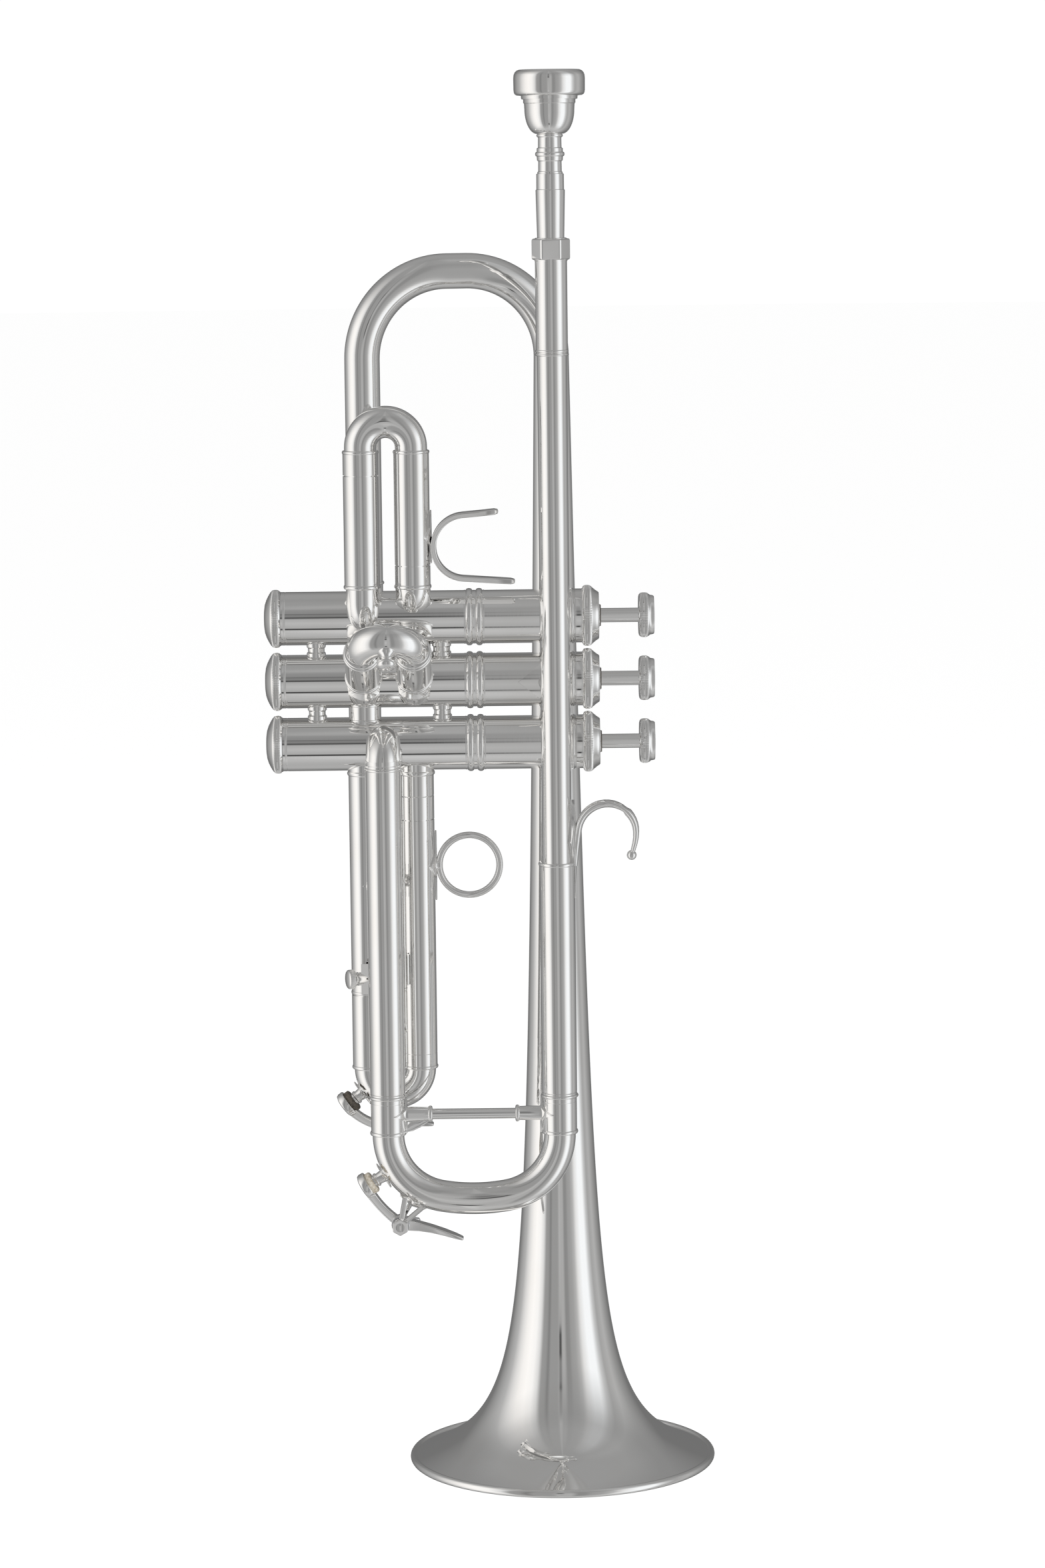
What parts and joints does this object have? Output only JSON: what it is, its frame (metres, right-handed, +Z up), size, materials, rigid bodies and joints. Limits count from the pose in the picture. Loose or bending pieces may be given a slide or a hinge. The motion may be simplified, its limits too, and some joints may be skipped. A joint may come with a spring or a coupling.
{
  "type": "trumpet",
  "caption": "Silver-plated piston-valve trumpet standing on its bell, with a mouthpiece, tuning slides, water keys, finger ring, thumb saddle and finger hook.",
  "frame": {"origin": "centre of the bell's rim, on the plane that the rim stands on", "axes": "+Z up the bell's axis to the mouthpiece, +X towards the finger buttons, -Y towards the leadpipe"},
  "size_m": [0.1739, 0.1279, 0.552],
  "materials": {
    "silver_plate": "polished silver plate over brass",
    "pearl": "glossy pearl inlay",
    "spring_steel": "drawn wire",
    "monel": "lapped nickel alloy",
    "felt": "dense felt",
    "cork": "fine-grained cork",
    "neoprene": "dark cork and rubber compound",
    "guide_plastic": "moulded nylon"
  },
  "bodies": {
    "instrument": {"bell_flare": "silver_plate", "rim_wire": "spring_steel", "bell_bow": "silver_plate", "receiver": "silver_plate", "leadpipe": "silver_plate", "tuning_outer_upper": "silver_plate", "tuning_outer_lower": "silver_plate", "third_knuckle": "silver_plate", "finger_hook": "silver_plate", "casing_1": "silver_plate", "casing_2": "silver_plate", "casing_3": "silver_plate", "bottom_caps": "silver_plate", "top_caps": "silver_plate", "casing_spacers": "silver_plate", "crossover_tubes": "silver_plate", "first_slide_outer": "silver_plate", "second_slide_outer": "silver_plate", "third_slide_outer": "silver_plate", "bell_braces": "silver_plate", "casing_brace": "silver_plate", "outer_slide_brace": "silver_plate", "stop_guide": "silver_plate", "lyre_box": "silver_plate", "valve_guides": "guide_plastic", "cap_felts": "felt"},
    "valve_1": {"piston_1": "monel", "stem_1": "silver_plate", "button_1": "silver_plate", "pearl_1": "pearl", "spring_1": "spring_steel"},
    "valve_2": {"piston_2": "monel", "stem_2": "silver_plate", "button_2": "silver_plate", "pearl_2": "pearl", "spring_2": "spring_steel"},
    "valve_3": {"piston_3": "monel", "stem_3": "silver_plate", "button_3": "silver_plate", "pearl_3": "pearl", "spring_3": "spring_steel"},
    "tuning_slide": {"tuning_bow": "silver_plate", "tuning_brace": "silver_plate", "tuning_key_saddle": "silver_plate"},
    "tuning_key": {"tuning_key_lever": "silver_plate", "tuning_key_cork": "cork"},
    "first_slide": {"first_slide_bow": "silver_plate", "thumb_saddle": "silver_plate"},
    "second_slide": {"second_slide_bow": "silver_plate", "second_slide_knob": "silver_plate"},
    "third_slide": {"third_slide_bow": "silver_plate", "finger_ring": "silver_plate", "stop_rod": "silver_plate", "third_key_saddle": "silver_plate"},
    "third_key": {"third_key_lever": "silver_plate", "third_key_cork": "neoprene"},
    "mouthpiece": {"mouthpiece": "silver_plate"},
    "lyre_screw": {"lyre_screw": "silver_plate"}
  },
  "joints": [
    {"name": "valve_1_press", "type": "slide", "parent": "instrument", "child": "valve_1", "axis": [-1, 0, 0], "range_m": [0, 0.0145], "stiffness_N_per_m": 180, "springref_m": -0.012, "deforming": ["spring_1"]},
    {"name": "valve_2_press", "type": "slide", "parent": "instrument", "child": "valve_2", "axis": [-1, 0, 0], "range_m": [0, 0.0145], "stiffness_N_per_m": 180, "springref_m": -0.012, "deforming": ["spring_2"]},
    {"name": "valve_3_press", "type": "slide", "parent": "instrument", "child": "valve_3", "axis": [-1, 0, 0], "range_m": [0, 0.0145], "stiffness_N_per_m": 180, "springref_m": -0.012, "deforming": ["spring_3"]},
    {"name": "tuning_slide_pull", "type": "slide", "parent": "instrument", "child": "tuning_slide", "axis": [0, 0, -1], "range_m": [0, 0.05]},
    {"name": "first_slide_pull", "type": "slide", "parent": "instrument", "child": "first_slide", "axis": [0, 0, 1], "range_m": [0, 0.025]},
    {"name": "second_slide_pull", "type": "slide", "parent": "instrument", "child": "second_slide", "axis": [0, -0.8387, 0.5446], "range_m": [0, 0.012]},
    {"name": "third_slide_pull", "type": "slide", "parent": "instrument", "child": "third_slide", "axis": [0, 0, -1], "range_m": [0, 0.019]},
    {"name": "tuning_key_open", "type": "hinge", "parent": "tuning_slide", "child": "tuning_key", "pos_m": [-0.0627, -0.04, 0.10592], "axis": [0, -1, 0], "range_deg": [0, 20], "stiffness_Nm_per_rad": 0.05, "springref_deg": -28.65},
    {"name": "third_key_open", "type": "hinge", "parent": "third_slide", "child": "third_key", "pos_m": [-0.06907, -0.021, 0.14087], "axis": [0, -1, 0], "range_deg": [0, 20], "stiffness_Nm_per_rad": 0.05, "springref_deg": -28.65},
    {"name": "mouthpiece_pull", "type": "slide", "parent": "instrument", "child": "mouthpiece", "axis": [0, 0, 1], "range_m": [0, 0.03]},
    {"name": "lyre_screw_turn", "type": "hinge", "parent": "instrument", "child": "lyre_screw", "pos_m": [-0.0736, -0.0316, 0.2018], "axis": [-0.9397, -0.342, 0], "continuous": true}
  ]
}
